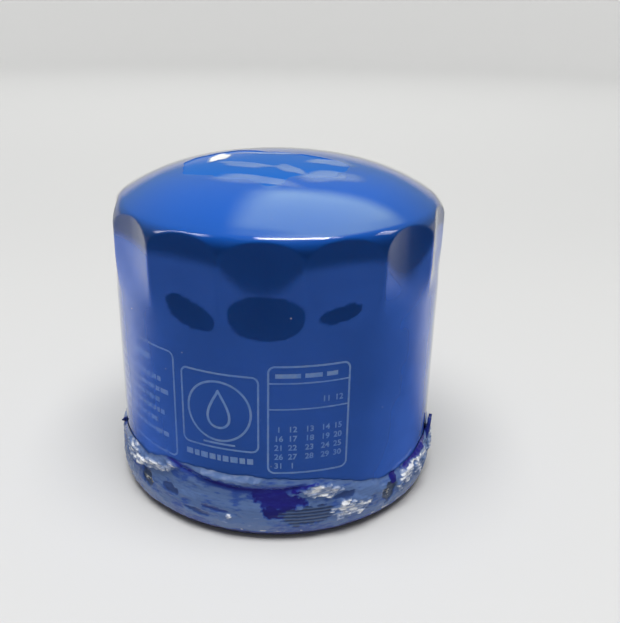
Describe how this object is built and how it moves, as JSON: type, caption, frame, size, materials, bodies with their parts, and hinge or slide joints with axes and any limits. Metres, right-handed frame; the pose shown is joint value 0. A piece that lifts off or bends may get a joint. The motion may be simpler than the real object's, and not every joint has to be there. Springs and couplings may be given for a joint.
{
  "type": "spin-on oil filter",
  "caption": "Short cylindrical spin-on oil filter: domed fluted canister, seamed mounting end with gasket and threaded hub, pleated element and valves inside, clear film outside.",
  "frame": {"origin": "on the filter's axis, in the plane of the gasket's sealing face", "axes": "+Z along the axis from the mounting end to the domed end; -Y faces the side that carries the printed panels; +X to the right of someone who faces that side"},
  "size_m": [0.0784, 0.0784, 0.076],
  "materials": {
    "blue_paint": "gloss blue enamel",
    "tinned_steel": "bright tinned sheet",
    "galvanised_steel": "zinc plated sheet and plate",
    "bright_steel": "bright strip",
    "spring_steel": "oiled spring wire",
    "nitrile_rubber": "moulded black rubber",
    "silicone_rubber": "moulded red-brown rubber",
    "filter_paper": "resin-treated pleated paper",
    "plastisol": "cured adhesive",
    "nylon": "moulded natural nylon",
    "clear_film": "clear heat-shrink film"
  },
  "bodies": {
    "canister_shell": {"canister": "blue_paint", "seaming_lid": "tinned_steel", "gasket": "nitrile_rubber", "base_plate": "galvanised_steel", "drain_valve_collar": "silicone_rubber", "support_spring": "spring_steel", "shrink_film": "clear_film"},
    "element": {"lower_end_cap": "galvanised_steel", "upper_end_cap": "galvanised_steel", "lower_potting": "plastisol", "upper_potting": "plastisol", "pleated_media": "filter_paper", "media_seam_clip": "bright_steel", "centre_tube": "galvanised_steel", "bypass_cage": "tinned_steel", "bypass_spring": "spring_steel"},
    "poppet": {"bypass_poppet": "nylon", "bypass_seal": "nitrile_rubber"},
    "flap": {"drain_valve_flap": "silicone_rubber"}
  },
  "joints": [
    {"name": "element_float", "type": "slide", "parent": "canister_shell", "child": "element", "axis": [0, 0, 1], "range_m": [0, 0.0015], "stiffness_N_per_m": 5000, "springref_m": -0.006, "deforming": ["support_spring"]},
    {"name": "bypass_lift", "type": "slide", "parent": "element", "child": "poppet", "axis": [0, 0, -1], "range_m": [0, 0.003], "stiffness_N_per_m": 2000, "springref_m": -0.0065, "deforming": ["bypass_spring"]},
    {"name": "drain_valve_lift", "type": "slide", "parent": "canister_shell", "child": "flap", "axis": [0, 0, 1], "range_m": [0, 0.0015], "stiffness_N_per_m": 150, "springref_m": -0.001}
  ]
}
